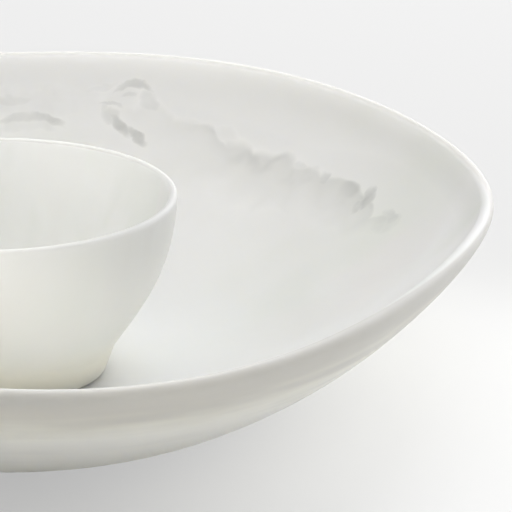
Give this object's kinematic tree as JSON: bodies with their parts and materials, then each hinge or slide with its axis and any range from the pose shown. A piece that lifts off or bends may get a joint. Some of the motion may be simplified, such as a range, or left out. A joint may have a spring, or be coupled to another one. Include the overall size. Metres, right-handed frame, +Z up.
{
  "type": "chip and dip server",
  "caption": "Wide soft-cornered bowl with a gently waved rim and a separate round footed bowl that stands in its middle, in swirled white cast resin.",
  "frame": {"origin": "on the table, under the middle of the server", "axes": "+Z up; the chip bowl's long way runs front to back along Y, and the pictured side faces -Y"},
  "size_m": [0.342, 0.3724, 0.0709],
  "materials": {
    "chip_resin": "satin cast resin, white with soft grey swirls",
    "dip_resin": "satin cast resin, white with soft grey swirls",
    "bumper": "soft clear polyurethane"
  },
  "bodies": {
    "chip_bowl": {"chip_bowl": "chip_resin", "chip_bumper_1": "bumper", "chip_bumper_2": "bumper", "chip_bumper_3": "bumper", "chip_bumper_4": "bumper"},
    "dip_bowl": {"dip_bowl": "dip_resin", "dip_bumper_1": "bumper", "dip_bumper_2": "bumper", "dip_bumper_3": "bumper"}
  },
  "joints": [
    {"name": "dip_bowl_lift", "type": "slide", "parent": "chip_bowl", "child": "dip_bowl", "axis": [0, 0, 1], "range_m": [0, 0.12]}
  ]
}
